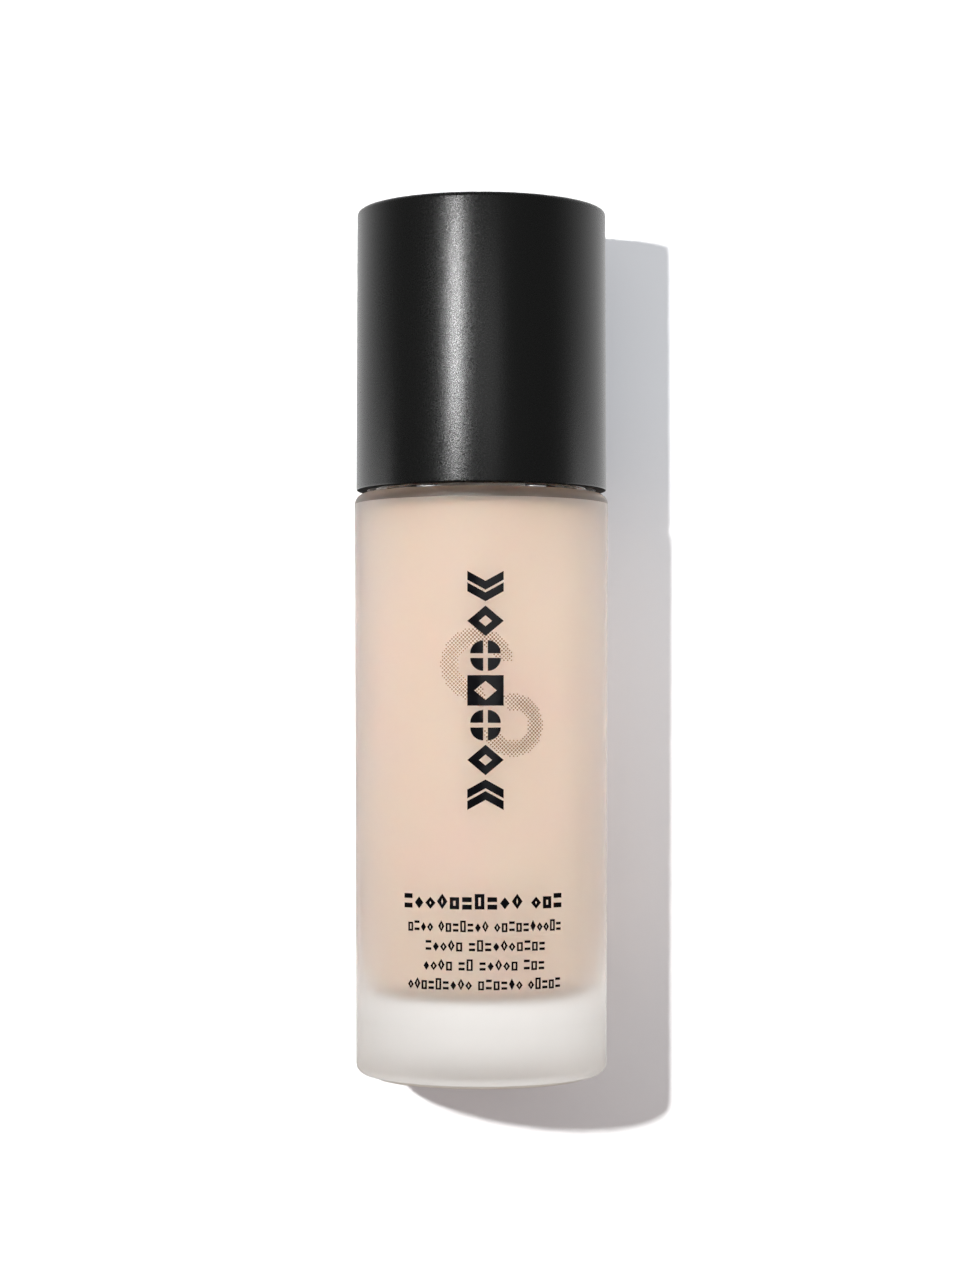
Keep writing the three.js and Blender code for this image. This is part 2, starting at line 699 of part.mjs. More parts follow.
const frostedGlass = material(0xe4ddd4, 0.55, 0, { transparent: true, opacity: 0.45 });
const beigeLiquid = material(0xe6cdb6, 0.4);
const satinBlack = material(0x1b1c1b, 0.38);
const glossBlack = material(0x151515, 0.18);
const whitePlastic = material(0xe9e9e4, 0.45);
const clearPlastic = material(0xdfe3e2, 0.3, 0, { transparent: true, opacity: 0.6 });
const softWhite = material(0xf1f0ea, 0.7);
const steel = material(0xb9bcc0, 0.25, 1);

const pieces = [
  ["glass_bottle", glassBottle, frostedGlass],
  ["foundation_fill", foundationFill, beigeLiquid],
  ["lip_gasket", lipGasket, softWhite],
  ["pump_housing", pumpHousing, whitePlastic],
  ["housing_retainer", housingRetainer, whitePlastic],
  ["stem_wiper", stemWiper, softWhite],
  ["dip_tube", dipTube, clearPlastic],
  ["inlet_ball", inletBall, steel],
  ["return_spring", returnSpring, steel],
  ["upper_stem", upperStem, whitePlastic],
  ["piston_rod", pistonRod, whitePlastic],
  ["piston", piston, softWhite],
  ["actuator_core", actuatorCore, glossBlack],
  ["nozzle_insert", nozzleInsert, glossBlack],
  ["actuator_shell", actuatorShell, glossBlack],
  ["screw_closure", screwClosure, satinBlack],
  ["collar_shroud", collarShroud, glossBlack],
  ["overcap_liner", overcapLiner, whitePlastic],
  ["overcap_shell", overcapShell, satinBlack],
];

const bottle = new THREE.Group();
bottle.name = "foundation_bottle";
for (const [name, make, finish] of pieces) {
  const mesh = new THREE.Mesh(make(), finish);
  mesh.name = name;
  bottle.add(mesh);
}

export default bottle;
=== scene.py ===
import math

import bpy
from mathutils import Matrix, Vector


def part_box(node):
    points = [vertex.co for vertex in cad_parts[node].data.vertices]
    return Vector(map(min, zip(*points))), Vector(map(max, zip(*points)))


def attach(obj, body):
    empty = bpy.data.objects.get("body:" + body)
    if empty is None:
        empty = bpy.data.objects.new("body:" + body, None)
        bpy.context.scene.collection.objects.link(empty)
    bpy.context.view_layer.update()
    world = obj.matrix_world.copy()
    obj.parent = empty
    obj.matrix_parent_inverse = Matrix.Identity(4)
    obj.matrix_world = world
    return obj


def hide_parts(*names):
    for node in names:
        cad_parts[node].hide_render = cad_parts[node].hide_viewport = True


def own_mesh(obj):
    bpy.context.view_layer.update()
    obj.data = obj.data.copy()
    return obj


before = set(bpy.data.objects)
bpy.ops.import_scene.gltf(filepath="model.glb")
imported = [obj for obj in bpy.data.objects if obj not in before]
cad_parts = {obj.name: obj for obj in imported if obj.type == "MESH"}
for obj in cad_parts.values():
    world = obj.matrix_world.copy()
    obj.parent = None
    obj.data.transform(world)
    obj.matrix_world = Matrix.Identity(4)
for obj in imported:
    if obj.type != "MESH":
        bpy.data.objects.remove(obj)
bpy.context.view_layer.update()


# Glass bottle: thick-walled pressed glass with a heavy base and a foot ring, threaded at the neck.
# Its outside is etched to a fine frost below the neck; the neck, the bore and the cavity stay clear.
# Pieces are modelled in millimetres and brought to metres when they are seated.

def millimetres(node):
    """The lowest and highest corners of a node of the frame."""
    low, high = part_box(node)
    return low * 1000, high * 1000


def turn(name, outline, steps=160):
    """A piece turned about the bottle's axis from its outline of (radius, height) points."""
    bpy.ops.object.select_all(action="DESELECT")
    bpy.ops.mesh.primitive_plane_add(size=1)
    piece = bpy.context.object
    piece.name = piece.data.name = name
    bpy.ops.object.mode_set(mode="EDIT")
    bpy.ops.mesh.select_mode(type="VERT")
    bpy.ops.mesh.select_all(action="SELECT")
    bpy.ops.mesh.merge(type="CENTER")
    closed = outline if outline[0][0] == 0 else [*outline, outline[0]]
    bpy.ops.transform.translate(value=(closed[0][0], 0, closed[0][1]))
    for (r0, z0), (r1, z1) in zip(closed, closed[1:]):
        bpy.ops.mesh.extrude_vertices_move(TRANSFORM_OT_translate={"value": (r1 - r0, 0, z1 - z0)})
    bpy.ops.mesh.select_all(action="SELECT")
    bpy.ops.mesh.spin(steps=steps, angle=2 * math.pi, center=(0, 0, 0), axis=(0, 0, 1))
    bpy.ops.mesh.select_all(action="SELECT")
    bpy.ops.mesh.remove_doubles(threshold=0.0005)
    bpy.ops.mesh.normals_make_consistent(inside=False)
    bpy.ops.object.mode_set(mode="OBJECT")
    return piece


def pick(piece, wanted):
    """Opens the piece in edit mode, with only the edges selected that wanted(points) holds for."""
    bpy.ops.object.select_all(action="DESELECT")
    bpy.context.view_layer.objects.active = piece
    piece.select_set(True)
    bpy.ops.object.mode_set(mode="EDIT")
    bpy.ops.mesh.select_mode(type="EDGE")
    bpy.ops.mesh.select_all(action="DESELECT")
    bpy.ops.object.mode_set(mode="OBJECT")
    mesh = piece.data
    for edge in mesh.edges:
        edge.select = wanted([mesh.vertices[i].co for i in edge.vertices])
    bpy.ops.object.mode_set(mode="EDIT")


def soften(piece, radius, height, amount, segments=5):
    """Rounds the edge that runs round the piece at that radius and height."""
    def on_edge(point):
        return abs(math.hypot(point.x, point.y) - radius) < 0.02 and abs(point.z - height) < 0.02
    pick(piece, lambda points: all(on_edge(point) for point in points))
    bpy.ops.mesh.bevel(offset=amount, segments=segments, affect="EDGES")
    bpy.ops.object.mode_set(mode="OBJECT")


def apply_modifier(piece, kind, **settings):
    """Adds a modifier with these settings and applies it."""
    bpy.context.view_layer.objects.active = piece
    modifier = piece.modifiers.new(kind.title(), kind)
    for name, value in settings.items():
        setattr(modifier, name, value)
    bpy.ops.object.modifier_apply(modifier=modifier.name)


MERGED = 0.001
SMOOTH_BELOW = math.radians(32)


def seat(piece, finish, slot, body, *nodes):
    """Cleans a piece, brings it to metres, smooths and finishes it, and puts it on its body."""
    bpy.ops.object.select_all(action="DESELECT")
    bpy.context.view_layer.objects.active = piece
    piece.select_set(True)
    bpy.ops.object.mode_set(mode="EDIT")
    bpy.ops.mesh.select_all(action="SELECT")
    bpy.ops.mesh.remove_doubles(threshold=MERGED)
    bpy.ops.mesh.dissolve_degenerate(threshold=MERGED)
    bpy.ops.object.mode_set(mode="OBJECT")
    piece.scale = (0.001, 0.001, 0.001)
    bpy.ops.object.transform_apply(location=True, rotation=True, scale=True)
    bpy.ops.object.shade_smooth_by_angle(angle=SMOOTH_BELOW)
    piece.data.materials.clear()
    piece.data.materials.append(finish)
    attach(piece, body)
    if nodes:
        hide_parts(*nodes)
    return piece


class Socket:
    """One output of a shader node, with maths written as an expression."""

    def __init__(self, shading, output):
        self.shading = shading
        self.output = output

    def maths(self, operation, *values):
        return self.shading.node("ShaderNodeMath", {"operation": operation}, dict(enumerate(values)))

    def __add__(self, other):
        return self.maths("ADD", self, other)

    def __rsub__(self, other):
        return self.maths("SUBTRACT", other, self)

    def __mul__(self, other):
        return self.maths("MULTIPLY", self, other)

    __radd__ = __add__
    __rmul__ = __mul__


class Shading:
    """The node tree of a material or of the surround."""

    def __init__(self, owner):
        owner.use_nodes = True
        self.tree = owner.node_tree

    def feed(self, socket, value):
        if isinstance(value, Socket):
            self.tree.links.new(value.output, socket)
        else:
            socket.default_value = value

    def node(self, kind, settings=None, inputs=None, output=0):
        made = self.tree.nodes.new(kind)
        for name, value in (settings or {}).items():
            setattr(made, name, value)
        for name, value in (inputs or {}).items():
            self.feed(made.inputs[name], value)
        return Socket(self, made.outputs[output])


class Finish(Shading):
    """A material being put together round its Principled shader."""

    def __init__(self, name, **constants):
        self.material = bpy.data.materials.new(name)
        super().__init__(self.material)
        self.shader = self.tree.nodes["Principled BSDF"]
        self.surface(**constants)

    def place(self):
        """The point on the piece, in metres, in the object's frame."""
        return self.node("ShaderNodeTexCoord", output="Object")

    def height(self):
        """How high the point is, in metres."""
        return self.node("ShaderNodeSeparateXYZ", inputs={"Vector": self.place()}, output="Z")

    def ramp(self, value, start, end, first, last):
        """Runs evenly from first to last as a value goes from start to end, and stops there."""
        inputs = {"Value": value, "From Min": start, "From Max": end, "To Min": first, "To Max": last}
        return self.node("ShaderNodeMapRange", inputs=inputs)

    def noise(self, size, detail=2.0, stretch=(1, 1, 1)):
        """Noise from 0 to 1 in patches about that many metres across."""
        at = self.node("ShaderNodeMapping", inputs={"Vector": self.place(), "Scale": stretch})
        inputs = {"Vector": at, "Scale": 1 / size, "Detail": detail, "Roughness": 0.55}
        return self.node("ShaderNodeTexNoise", inputs=inputs)

    def between(self, share, first, second):
        """A colour between two, by share. Either may be a socket."""
        first, second = [c if isinstance(c, Socket) else (*c, 1) for c in (first, second)]
        return self.node("ShaderNodeMix", {"data_type": "RGBA"}, {0: share, 6: first, 7: second}, 2)

    def bump(self, height, depth, strength):
        """A normal raised by height, up to that depth in metres."""
        inputs = {"Height": height, "Distance": depth, "Strength": strength}
        return self.node("ShaderNodeBump", inputs=inputs)

    def surface(self, **sockets):
        """Sets or links the shader's sockets, named with _ for each space."""
        for socket, value in sockets.items():
            self.feed(self.shader.inputs[socket.replace("_", " ")], value)
        return self.material


FOOT_RING = (11.66, 14.46)  # inner and outer radius
FOOT_FLARE = 0.25
PUNT_STEPS = 6
BODY_DRAFT = 0.22
HEEL = 0.5
CAP_GAP = 0.4
NECK = 8.8
BORE = 6.5
FILL_GAP = 0.1
HEEL_ROUND = 1.3
SHOULDER_ROUND = 1.45
NECK_ROOT_ROUND = 0.6
LIP_ROUND = 0.4
FOOT_ROUND = 0.2
CAVITY_TOP_ROUND = 1.0
CAVITY_FLOOR_ROUND = 3.0

glass_high = millimetres("glass_bottle")[1]
cap_low, cap_high = millimetres("overcap_shell")
fill_low, fill_high = millimetres("foundation_fill")
body_radius = glass_high.x
base_radius = body_radius - BODY_DRAFT
shoulder = cap_low.z - CAP_GAP
lip = glass_high.z
cavity = fill_high.x + FILL_GAP
cavity_floor = fill_low.z - FILL_GAP
cavity_ceiling = fill_high.z + FILL_GAP

shares = [step / PUNT_STEPS for step in range(PUNT_STEPS)]
punt = [(FOOT_RING[0] * share, math.cos(share * math.pi / 2)) for share in shares]
glass = turn("bottle_glass", [
    *punt,
    (FOOT_RING[0], 0),
    (FOOT_RING[1], 0),
    (FOOT_RING[1] + FOOT_FLARE, HEEL),
    (base_radius, HEEL),
    (body_radius, shoulder),
    (NECK, shoulder),
    (NECK, lip),
    (BORE, lip),
    (BORE, cavity_ceiling),
    (cavity, cavity_ceiling),
    (cavity, cavity_floor),
    (0, cavity_floor),
])
soften(glass, base_radius, HEEL, HEEL_ROUND, 8)
soften(glass, body_radius, shoulder, SHOULDER_ROUND, 8)
soften(glass, NECK, shoulder, NECK_ROOT_ROUND)
soften(glass, NECK, lip, LIP_ROUND)
soften(glass, BORE, lip, LIP_ROUND)
soften(glass, cavity, cavity_ceiling, CAVITY_TOP_ROUND, 6)
soften(glass, cavity, cavity_floor, CAVITY_FLOOR_ROUND, 10)
soften(glass, FOOT_RING[1], 0, FOOT_ROUND, 3)


def wind(name, radius, bottom, rise, turns, wire, sides, steps):
    """A round bar wound about the bottle's axis: a screw thread or a spring, closed at its ends."""
    bpy.ops.object.select_all(action="DESELECT")
    bpy.ops.mesh.primitive_circle_add(
        vertices=sides, radius=wire, rotation=(math.pi / 2, 0, 0), location=(radius, 0, bottom),
    )
    bar = bpy.context.object
    bar.name = bar.data.name = name
    bpy.ops.object.transform_apply(location=True, rotation=True, scale=True)
    apply_modifier(bar, "SCREW", angle=2 * math.pi * turns, steps=steps, render_steps=steps,
                   screw_offset=rise, use_merge_vertices=True, merge_threshold=MERGED)
    bpy.ops.object.mode_set(mode="EDIT")
    bpy.ops.mesh.select_all(action="DESELECT")
    bpy.ops.mesh.select_non_manifold()
    bpy.ops.mesh.edge_face_add()
    bpy.ops.mesh.select_all(action="SELECT")
    bpy.ops.mesh.normals_make_consistent(inside=False)
    bpy.ops.object.mode_set(mode="OBJECT")
    return bar


THREAD_TURNS = 1.5
THREAD_PITCH = 3.175
THREAD_TOP = 2.4
THREAD_BAR = 0.75
THREAD_PROUD = 0.25

thread_rise = THREAD_TURNS * THREAD_PITCH
thread = wind("neck_thread", NECK + THREAD_PROUD, lip - THREAD_TOP - thread_rise, thread_rise,
              THREAD_TURNS, THREAD_BAR, 12, 96)
apply_modifier(glass, "BOOLEAN", operation="UNION", solver="EXACT", object=thread)
bpy.data.objects.remove(thread)


def lets_light_through(finish, outwards, inwards):
    """Lets lamps reach what is inside the glass, tinted on their way in and on their way out."""
    lamp = finish.node("ShaderNodeLightPath", output="Is Shadow Ray")
    leaving = finish.node("ShaderNodeNewGeometry", output="Backfacing")
    dim = finish.node("ShaderNodeBsdfTransparent", inputs={"Color": (*inwards, 1)})
    bright = finish.node("ShaderNodeBsdfTransparent", inputs={"Color": (*outwards, 1)})
    veil = finish.node("ShaderNodeMixShader", inputs={0: leaving * lamp, 1: dim, 2: bright})
    body = Socket(finish, finish.shader.outputs[0])
    both = finish.node("ShaderNodeMixShader", inputs={0: lamp, 1: body, 2: veil})
    finish.feed(finish.tree.nodes["Material Output"].inputs["Surface"], both)
    return finish.material


frost = Finish("frosted_glass", Transmission_Weight=1.0, IOR=1.38, Specular_IOR_Level=0.1)
grain = frost.noise(0.00035, 3)
cloud = frost.noise(0.012, 2)
thick = frost.ramp(frost.height(), 0.008, 0.014, 1.0, 0.0)
thin_colour = frost.between(cloud, (0.91, 0.89, 0.87), (0.96, 0.945, 0.93))
frost.surface(
    Base_Color=frost.between(thick, thin_colour, (0.76, 0.74, 0.715)),
    Roughness=0.58 + 0.06 * cloud + 0.04 * grain,
    Normal=frost.bump(grain, 0.00001, 0.35),
)
frosted_glass = lets_light_through(frost, (0.275, 0.275, 0.275), (0.01, 0.008, 0.0055))

clear = Finish("clear_glass", Transmission_Weight=1.0, IOR=1.5)
ripple = clear.noise(0.006, 1)
clear.surface(
    Base_Color=clear.between(ripple, (0.97, 0.98, 0.97), (1, 1, 1)),
    Roughness=0.03 + 0.05 * ripple,
)
clear_glass = lets_light_through(clear, (0.96, 0.97, 0.96), (0.96, 0.97, 0.96))

# Dark glass for the shoulder's rounding under the cap: painted shade and a painted reflection of the
# black cap above it.
shoulder_shade = Finish("shoulder_glass", Transmission_Weight=1.0, IOR=1.5)
streak = shoulder_shade.noise(0.004, 2)
shoulder_shade.surface(
    Base_Color=shoulder_shade.between(streak, (0.13, 0.105, 0.09), (0.2, 0.17, 0.15)),
    Roughness=0.4 + 0.1 * streak,
)
shoulder_glass = lets_light_through(shoulder_shade, (0.3, 0.29, 0.28), (0.3, 0.29, 0.28))

# Dark brown glass for the foot ring: painted shadow under the base and a painted reflection of the
# liquid's colour. Its stippled bump is real.
foot = Finish("foot_shade_glass", Transmission_Weight=1.0, IOR=1.5)
stipple = foot.noise(0.0009, 2)
foot.surface(
    Base_Color=foot.between(stipple, (0.24, 0.19, 0.155), (0.3, 0.245, 0.205)),
    Roughness=0.3 + 0.15 * stipple,
    Normal=foot.bump(stipple, 0.00003, 0.6),
)
foot_shade_glass = lets_light_through(foot, (0.1, 0.1, 0.1), (0.02, 0.015, 0.01))

FROST_TOP = 77.15
NECK_FOOT = shoulder + 0.7
NEAR = 0.05
FOOT_TOP = HEEL + 0.02

seat(glass, frosted_glass, "frosted_glass", "bottle", "glass_bottle")
for finish in (clear_glass, shoulder_glass, foot_shade_glass):
    glass.data.materials.append(finish)
for face in glass.data.polygons:
    middle = face.center * 1000
    inside = math.hypot(middle.x, middle.y) < cavity + NEAR and middle.z > cavity_floor - NEAR
    if inside or middle.z > NECK_FOOT:
        face.material_index = 1
    elif middle.z > FROST_TOP:
        # the shoulder's rounding takes the painted shade
        face.material_index = 2
    elif middle.z < FOOT_TOP:
        # the foot ring takes the painted shadow and reflection
        face.material_index = 3


# Foundation: the beige liquid that fills the cavity up to the shoulder, with the pump's barrel and
# dip tube hanging in it. It wets the glass, so it reaches a hair into it and no air shows between.

WETTING = 0.03
BARREL_HOLE = 6.2
NOSE_HOLE = 3.3
TUBE_HOLE = 2.0
PUMP_FREE = 0.3
TUBE_FREE = 0.5
NOSE_LENGTH = 9.86

nose_foot = millimetres("pump_housing")[0].z
tube_foot = millimetres("dip_tube")[0].z
barrel_foot = nose_foot + NOSE_LENGTH
fill = turn("foundation_liquid", [
    (0, cavity_floor - WETTING),
    (cavity + WETTING, cavity_floor - WETTING),
    (cavity + WETTING, cavity_ceiling + WETTING),
    (BARREL_HOLE, cavity_ceiling + WETTING),
    (BARREL_HOLE, barrel_foot),
    (NOSE_HOLE, barrel_foot),
    (NOSE_HOLE, nose_foot - PUMP_FREE),
    (TUBE_HOLE, nose_foot - PUMP_FREE),
    (TUBE_HOLE, tube_foot - TUBE_FREE),
    (0, tube_foot - TUBE_FREE),
])
soften(fill, cavity + WETTING, cavity_ceiling + WETTING, CAVITY_TOP_ROUND, 6)
soften(fill, cavity + WETTING, cavity_floor - WETTING, CAVITY_FLOOR_ROUND, 10)

cream = Finish("liquid_foundation", IOR=1.42, Subsurface_Weight=0.25, Subsurface_Scale=0.0015,
               Subsurface_Radius=(1.0, 0.6, 0.4), Specular_IOR_Level=0.3)
swirl = cream.noise(0.018, 3, (1, 1, 0.35))
blush = cream.noise(0.011, 2, (1, 1, 0.7))
body_colour = cream.between(swirl, (0.835, 0.655, 0.53), (0.865, 0.73, 0.605))
blushed = cream.between(cream.ramp(blush, 0.5, 0.72, 0.0, 0.6), body_colour, (0.86, 0.63, 0.55))
# Darker towards the bottom: painted shade where the key lamp's light falls off low down.
painted_low_shade = cream.ramp(cream.height(), 0.014, 0.062, 0.3, 0.0)
cream.surface(
    Base_Color=cream.between(painted_low_shade, blushed, (0.68, 0.55, 0.45)),
    Roughness=0.32 + 0.1 * swirl,
)
seat(fill, cream.material, "liquid_foundation", "bottle", "foundation_fill")


# Front print: screen-printed enamel, fired on and standing a little proud of the glass. A column of
# plain geometric ornaments in gloss black, two fading dot screens in bronze behind it, and rows of
# small ornaments below. It is drawn flat, laid round the glass and given its thickness.

INK_ROOT = 0.03
CUT_EVERY = 1


def disc(u, v, radius, sides=24, turned=0.0, share=1.0):
    """A round or many-sided outline about a point of the flat drawing, or a sector of it."""
    steps = range(sides + (share < 1))
    angles = [2 * math.pi * share * i / sides + turned for i in steps]
    rim = [(u + radius * math.cos(a), v + radius * math.sin(a)) for a in angles]
    return rim if share == 1 else [(u, v), *rim]


def slab(u, v, width, height):
    """A rectangle about a point."""
    w, h = width / 2, height / 2
    return [(u - w, v - h), (u + w, v - h), (u + w, v + h), (u - w, v + h)]


def lozenge(u, v, width, height):
    """A four-pointed outline about a point."""
    return [(u - width / 2, v), (u, v - height / 2), (u + width / 2, v), (u, v + height / 2)]


def chevron(u, v, width, rise, stroke):
    """A bent bar about a point, its middle above its ends, or below them for a negative rise."""
    low, w = v - rise / 2 - stroke / 2, width / 2
    lower = [(u - w, low), (u, low + rise), (u + w, low)]
    return lower + [(x, y + stroke) for x, y in reversed(lower)]


def glass_radius(z):
    """The outer radius of the glass at a height."""
    return base_radius + BODY_DRAFT * (z - HEEL) / (shoulder - HEEL)


def print_on_glass(name, outlines, finish, thickness):
    """Fills flat outlines of (across, height) points, lays them round the glass and thickens them."""
    drawing = bpy.data.curves.new(name, "CURVE")
    drawing.dimensions = "2D"
    drawing.fill_mode = "BOTH"
    drawing.extrude = 0.5
    for outline in outlines:
        spline = drawing.splines.new("POLY")
        spline.points.add(len(outline) - 1)
        for point, (u, v) in zip(spline.points, outline):
            point.co = (u, v, 0, 1)
        spline.use_cyclic_u = True
    piece = bpy.data.objects.new(name, drawing)
    bpy.context.scene.collection.objects.link(piece)
    bpy.ops.object.select_all(action="DESELECT")
    bpy.context.view_layer.objects.active = piece
    piece.select_set(True)
    bpy.ops.object.convert(target="MESH")
    bpy.ops.object.mode_set(mode="EDIT")
    bpy.ops.mesh.select_all(action="SELECT")
    bpy.ops.mesh.remove_doubles(threshold=0.0001)
    across = [u for outline in outlines for u, v in outline]
    for cut in range(math.ceil(min(across)), math.ceil(max(across)), CUT_EVERY):
        bpy.ops.mesh.select_all(action="SELECT")
        bpy.ops.mesh.bisect(plane_co=(cut, 0, 0), plane_no=(1, 0, 0))
    bpy.ops.mesh.select_all(action="SELECT")
    bpy.ops.mesh.normals_make_consistent(inside=False)
    bpy.ops.object.mode_set(mode="OBJECT")
    piece = bpy.context.object
    for vertex in piece.data.vertices:
        u, v, side = vertex.co
        radius = glass_radius(v) + (thickness if side > 0 else -INK_ROOT)
        angle = u / glass_radius(v)
        vertex.co = (radius * math.sin(angle), -radius * math.cos(angle), v)
    piece.visible_shadow = False  # the frost blurs its shadow away
    seat(piece, finish, "gloss_black", "bottle")


ORNAMENT_MIDDLE = 0.52
ORNAMENT_LOW = 36.45
ORNAMENT_HEIGHT = 30.9
ORNAMENT_WIDTH = 4.7
ORNAMENT_GAP = 0.55
ORNAMENTS = ("rising", "lozenge", "quarters", "block", "quarters", "lozenge", "falling")
STROKE = 1.15
RISE = 1.3
QUARTER_GAP = 0.3
LOZENGE_HOLE = 0.36
BLOCK_HOLE = 0.62

pitch = (ORNAMENT_HEIGHT + ORNAMENT_GAP) / len(ORNAMENTS)
tall = pitch - ORNAMENT_GAP
ornament = []
for i, kind in enumerate(ORNAMENTS):
    u, v = ORNAMENT_MIDDLE, ORNAMENT_LOW + pitch * i + tall / 2
    if kind == "lozenge":
        ornament.append(lozenge(u, v, ORNAMENT_WIDTH, tall))
        ornament.append(lozenge(u, v, ORNAMENT_WIDTH * LOZENGE_HOLE, tall * LOZENGE_HOLE))
    elif kind == "quarters":
        for side, up, start in ((1, 1, 0), (-1, 1, 0.5), (-1, -1, 1), (1, -1, 1.5)):
            place = (u + side * QUARTER_GAP, v + up * QUARTER_GAP)
            ornament.append(disc(*place, tall / 2 - QUARTER_GAP, 12, start * math.pi, 0.25))
    elif kind == "block":
        ornament.append(slab(u, v, ORNAMENT_WIDTH, tall))
        ornament.append(lozenge(u, v, ORNAMENT_WIDTH * BLOCK_HOLE, tall * BLOCK_HOLE))
    else:
        rise = RISE if kind == "rising" else -RISE
        apart = (tall - STROKE - RISE) / 2
        for step in (-1, 1):
            ornament.append(chevron(u, v + step * apart, ORNAMENT_WIDTH, rise, STROKE))

gloss_ink = Finish("gloss_black_enamel", IOR=1.38)
pool = gloss_ink.noise(0.0012, 2)
gloss_ink.surface(
    Base_Color=gloss_ink.between(pool, (0.0012, 0.0012, 0.0016), (0.003, 0.003, 0.004)),
    Roughness=0.08 + 0.1 * pool,
    Normal=gloss_ink.bump(pool, 0.00003, 0.5),
)
print_on_glass("printed_ornament", ornament, gloss_ink.material, 0.1)

# Two dotted crescents behind the ornament, whose dots shrink towards their edges and open ends.
DOT_PITCH = 0.5
DOT_RADIUS = 0.15
DOT_REACH = 12
FAINTEST = 0.25
CRESCENTS = (  # middle, middle radius and width of the band, angle that its opening faces
    (-0.6, 55.3, 3.6, 2.9, math.radians(-35)),
    (4.2, 47.4, 3.0, 2.6, math.radians(150)),
)
dots = []
for centre_u, centre_v, band_radius, band_width, opening in CRESCENTS:
    for row in range(-2 * DOT_REACH, 2 * DOT_REACH + 1):
        for column in range(-DOT_REACH, DOT_REACH + 1):
            u, v = (column + 0.5 * (row % 2)) * DOT_PITCH, row * DOT_PITCH / 2
            off_band = abs(math.hypot(u, v) - band_radius) / (band_width / 2)
            from_opening = abs(math.remainder(math.atan2(v, u) - opening, 2 * math.pi))
            fade = min(1.0, 1.5 * (1 - off_band), 1.2 * (from_opening - 0.5))
            radius = DOT_RADIUS * (0.55 + 0.45 * fade)
            if fade > FAINTEST:
                dots.append(disc(centre_u + u, centre_v + v, radius, 8, math.pi / 8))
bronze = Finish("bronze_enamel", IOR=1.5)
fleck = bronze.noise(0.0006, 2)
bronze.surface(
    Base_Color=bronze.between(fleck, (0.2, 0.135, 0.09), (0.33, 0.225, 0.15)),
    Roughness=0.38 + 0.15 * fleck,
    Metallic=0.35 * fleck,
    Normal=bronze.bump(fleck, 0.00002, 0.4),
)
print_on_glass("printed_dot_screen", dots, bronze.material, 0.03)


GROUP_GAP = 0.6
BEAD_WIDTH = 0.76
BEAD_HEIGHTS = (0.78, 1.0, 0.78)
BEAD_HOLLOW = 2.2


def bead_row(groups, left, right, middle, height, stroke, start):
    """A row of small plain beads in groups, spread evenly between two ends."""
    shapes = []
    advance = (right - left) / (sum(groups) + GROUP_GAP * (len(groups) - 1))
    width = advance * BEAD_WIDTH
    u = left + advance / 2
    count = start
    for group in groups:
        for _ in range(group):
            kind = count * 5 % 7
            tall = height * BEAD_HEIGHTS[count % len(BEAD_HEIGHTS)]
            v = middle - (height - tall) / 2
            inner = (width - BEAD_HOLLOW * stroke, tall - BEAD_HOLLOW * stroke)
            if kind in (0, 4):
                shapes += [slab(u, v, width, tall), slab(u, v, *inner)]
            elif kind in (1, 6):
                shapes.append(lozenge(u, v, width * 1.15, tall))
                shapes.append(lozenge(u, v, inner[0] * 0.8, inner[1] * 0.8))
            elif kind in (2, 5):
                shapes += [slab(u, v + side * tall * 0.31, width, stroke * 1.5) for side in (-1, 1)]
            else:
                shapes.append(lozenge(u, v, width, tall))
            u += advance
            count += 1
        u += GROUP_GAP * advance
    return shapes


# Beads in each group, left and right ends, middle height, bead height and stroke.
HEADING = ((10, 3), -10.9, 11.4, 24.6, 2.0, 0.42)
LINES = (
    ((4, 7, 10), -10.2, 11.2, 21.4, 1.5, 0.22),
    ((5, 10), -7.6, 8.7, 18.9, 1.5, 0.22),
    ((4, 2, 5, 3), -7.9, 8.6, 16.4, 1.5, 0.22),
    ((9, 6, 5), -10.2, 11.1, 13.9, 1.5, 0.22),
)
rows = bead_row(*HEADING, 1)
for number, line in enumerate(LINES):
    rows += bead_row(*line, number)
print_on_glass("printed_rows", rows, gloss_ink.material, 0.04)


# Overcap shell: a straight-sided moulded cup with a flat top, sprayed in a satin black that holds a
# fine sparkling grain. Its hem is left bare underneath, and stands just off the bottle's shoulder.

CAP_WALL = 1.32
CAP_DRAFT = 0.14
CAP_TOP = 1.55
HEM = 0.2
CAP_TOP_ROUND = 0.6
CAP_HEM_ROUND = 0.22
CAP_MOUTH_ROUND = 0.12

cap_radius = cap_high.x
cap_bore = cap_radius - CAP_DRAFT - CAP_WALL
shell = turn("overcap_outer", [
    (0, cap_high.z),
    (cap_radius - CAP_DRAFT, cap_high.z),
    (cap_radius, cap_low.z),
    (cap_bore, cap_low.z),
    (cap_bore, cap_high.z - CAP_TOP),
    (0, cap_high.z - CAP_TOP),
])
soften(shell, cap_radius - CAP_DRAFT, cap_high.z, CAP_TOP_ROUND, 8)
soften(shell, cap_radius, cap_low.z, CAP_HEM_ROUND, 4)
soften(shell, cap_bore, cap_low.z, CAP_MOUTH_ROUND, 2)

